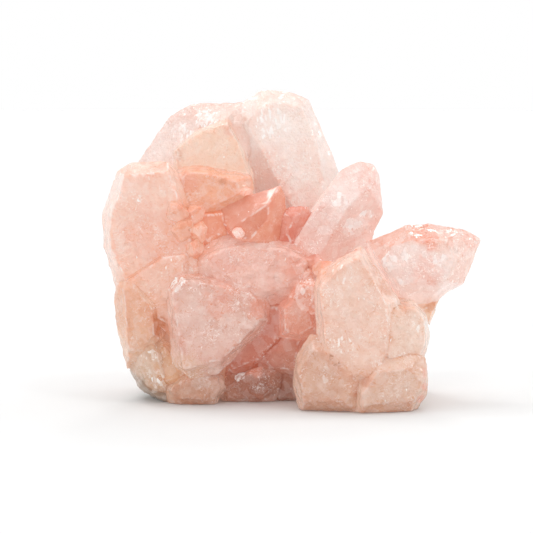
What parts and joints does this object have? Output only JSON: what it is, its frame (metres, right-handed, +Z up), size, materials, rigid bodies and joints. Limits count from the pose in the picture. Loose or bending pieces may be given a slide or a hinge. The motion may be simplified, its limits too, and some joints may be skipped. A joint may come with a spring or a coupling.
{
  "type": "quartz crystal cluster",
  "caption": "Free-standing cluster of pale rose quartz: clear points and massive iron-stained blocks grown together on a flat resting base.",
  "frame": {"origin": "middle of the cluster's footprint box, on the plane it stands on", "axes": "+X to the right of the cluster seen from its front, along its longest extent; +Y away from the front; +Z up"},
  "size_m": [0.12, 0.0682, 0.098],
  "materials": {
    "pale_rose_quartz": "translucent, satin natural faces",
    "milky_rose_quartz": "milky, satin broken faces",
    "clear_peach_quartz": "clear glassy faces with iron tint and inner veils",
    "amber_quartz": "iron-stained, satin",
    "clear_rose_quartz": "clear glassy faces with inner veils",
    "red_rose_quartz": "glassy, iron-red",
    "peach_quartz": "iron-tinted, satin",
    "beige_quartz": "waxy beige",
    "deep_rose_quartz": "shaded translucent rose",
    "smoky_quartz": "druzy, dull grey-brown",
    "brown_stained_quartz": "dark brown stain",
    "frosty_quartz": "white sparkling",
    "grey_host_rock": "rough matt, speckled"
  },
  "bodies": {
    "root": {"right_front_crystal": "pale_rose_quartz", "right_side_crystal": "pale_rose_quartz", "front_base_crystal": "milky_rose_quartz", "right_base_crystal": "milky_rose_quartz", "far_right_point": "clear_peach_quartz", "orange_flake": "amber_quartz", "upper_right_point": "clear_rose_quartz", "glassy_knob": "clear_rose_quartz", "big_front_crystal": "pale_rose_quartz", "rounded_centre_crystal": "milky_rose_quartz", "salmon_crystal": "red_rose_quartz", "lower_left_crystal": "peach_quartz", "pink_wedge_crystal": "milky_rose_quartz", "left_foot_crystal": "beige_quartz", "peach_keystone": "peach_quartz", "front_pebble": "beige_quartz", "deep_rose_crystal": "deep_rose_quartz", "smoky_base_crystal": "smoky_quartz", "brown_base_crystal": "brown_stained_quartz", "recess_crystal": "deep_rose_quartz", "nook_grain_1": "red_rose_quartz", "nook_grain_2": "milky_rose_quartz", "nook_grain_3": "amber_quartz", "seam_grain_1": "peach_quartz", "seam_grain_2": "amber_quartz", "seam_grain_3": "peach_quartz", "seam_grain_4": "amber_quartz", "seam_grain_5": "milky_rose_quartz", "frost_grain_1": "frosty_quartz", "frost_grain_2": "frosty_quartz", "centre_point": "clear_rose_quartz", "red_point": "red_rose_quartz", "left_shoulder_crystal": "milky_rose_quartz", "orange_block": "amber_quartz", "amber_crystal": "amber_quartz", "peach_crystal": "peach_quartz", "tall_back_crystal": "pale_rose_quartz", "left_back_crystal": "pale_rose_quartz", "back_right_point": "clear_rose_quartz", "back_centre_point": "pale_rose_quartz", "back_left_point": "clear_peach_quartz", "back_right_crystal": "milky_rose_quartz", "back_centre_crystal": "pale_rose_quartz", "back_left_crystal": "milky_rose_quartz", "low_right_crystal": "pale_rose_quartz", "low_centre_crystal": "peach_quartz", "low_left_crystal": "beige_quartz", "grey_host_rock": "grey_host_rock", "quartz_core": "milky_rose_quartz"}
  },
  "joints": []
}
